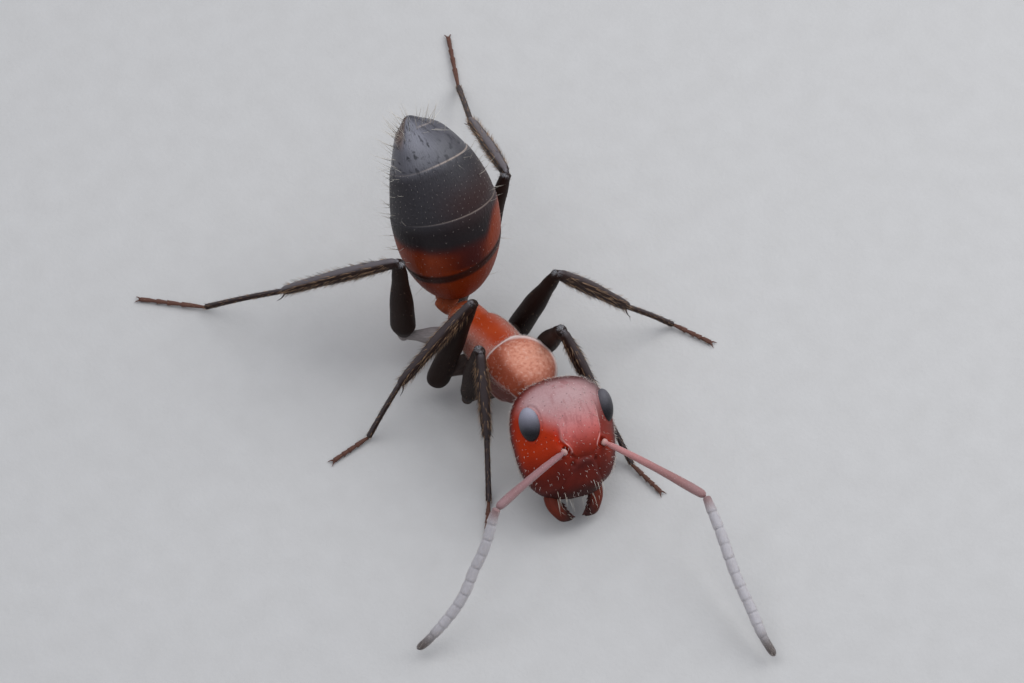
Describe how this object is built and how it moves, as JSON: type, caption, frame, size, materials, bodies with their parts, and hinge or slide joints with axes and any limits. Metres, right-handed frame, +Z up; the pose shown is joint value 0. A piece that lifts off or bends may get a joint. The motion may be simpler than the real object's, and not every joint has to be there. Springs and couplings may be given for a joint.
{
  "type": "carpenter ant",
  "caption": "Life-size carpenter ant worker standing on all its feet, gaster raised, head lowered with open jaws and feelers reaching forward.",
  "frame": {"origin": "on the ground under the middle of the box around the whole ant", "axes": "+Z up, the thorax faces -Y, the ant's left side is +X"},
  "size_m": [0.0112, 0.0178, 0.0054],
  "materials": {
    "head_shell": "satin chitin, red",
    "jaw_shell": "satin chitin, dark red with black teeth",
    "thorax_shell": "satin chitin, orange-red with fine down",
    "gaster_shell": "satin chitin, orange-red at the base, black behind",
    "leg_shell": "dull dark brown chitin",
    "feeler_shell": "downy grey-brown chitin",
    "eye": "satin dark grey",
    "hair": "pale golden bristle"
  },
  "bodies": {
    "root": {"head": "head_shell", "mandible_left": "jaw_shell", "mandible_right": "jaw_shell", "eye_left": "eye", "eye_right": "eye", "scape_left": "feeler_shell", "scape_right": "feeler_shell", "lash_left": "feeler_shell", "lash_right": "feeler_shell", "pronotum": "thorax_shell", "mesothorax": "thorax_shell", "propodeum": "thorax_shell", "petiole": "thorax_shell", "gaster_1": "gaster_shell", "gaster_2": "gaster_shell", "gaster_3": "gaster_shell", "gaster_4": "gaster_shell", "gaster_5": "gaster_shell", "coxa_fore_left": "leg_shell", "femur_fore_left": "leg_shell", "tibia_fore_left": "leg_shell", "metatarsus_fore_left": "leg_shell", "tarsus_fore_left": "leg_shell", "coxa_fore_right": "leg_shell", "femur_fore_right": "leg_shell", "tibia_fore_right": "leg_shell", "metatarsus_fore_right": "leg_shell", "tarsus_fore_right": "leg_shell", "coxa_middle_left": "leg_shell", "femur_middle_left": "leg_shell", "tibia_middle_left": "leg_shell", "metatarsus_middle_left": "leg_shell", "tarsus_middle_left": "leg_shell", "coxa_middle_right": "leg_shell", "femur_middle_right": "leg_shell", "tibia_middle_right": "leg_shell", "metatarsus_middle_right": "leg_shell", "tarsus_middle_right": "leg_shell", "coxa_hind_left": "leg_shell", "femur_hind_left": "leg_shell", "tibia_hind_left": "leg_shell", "metatarsus_hind_left": "leg_shell", "tarsus_hind_left": "leg_shell", "coxa_hind_right": "leg_shell", "femur_hind_right": "leg_shell", "tibia_hind_right": "leg_shell", "metatarsus_hind_right": "leg_shell", "tarsus_hind_right": "leg_shell"}
  },
  "joints": []
}
